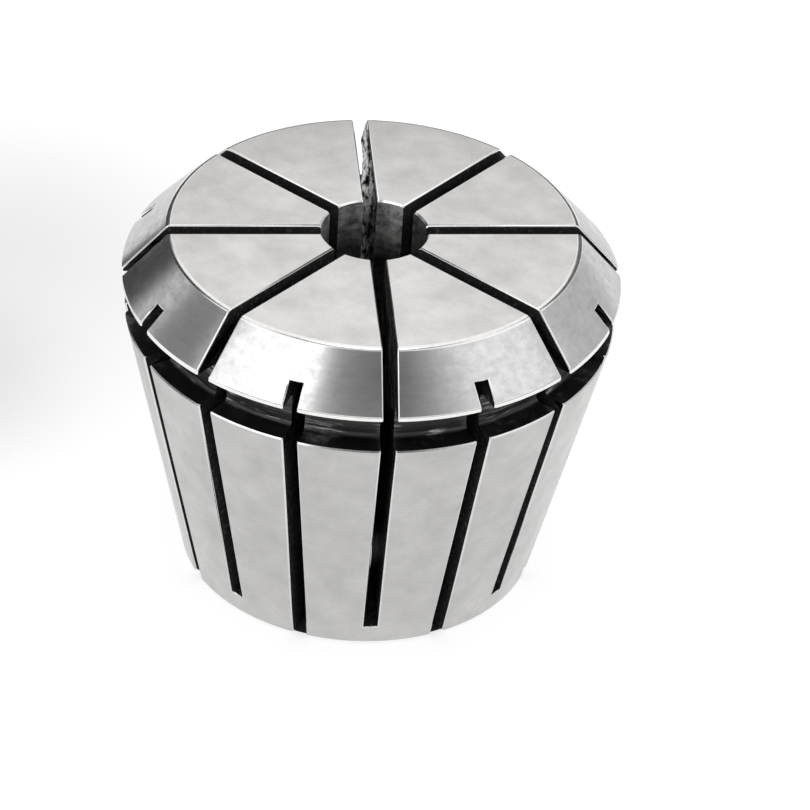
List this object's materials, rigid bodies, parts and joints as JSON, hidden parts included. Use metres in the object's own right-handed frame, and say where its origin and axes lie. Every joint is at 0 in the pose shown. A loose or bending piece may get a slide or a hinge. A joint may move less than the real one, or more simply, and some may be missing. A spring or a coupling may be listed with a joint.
{
  "type": "er collet",
  "caption": "Slotted spring collet with a nose cone, nut groove, long seating taper and clamping bore, for holding a round tool shank in a chuck.",
  "frame": {"origin": "centre of the rear face, on the axis", "axes": "+Z along the axis from the rear face to the front face; the first front slot lies 11.25 degrees from +X towards +Y, so the XZ and YZ planes pass through whole segments"},
  "size_m": [0.033, 0.033, 0.0253],
  "materials": {
    "ground_steel": "satin ground spring steel"
  },
  "bodies": {
    "root": {"collet": "ground_steel"}
  },
  "joints": []
}
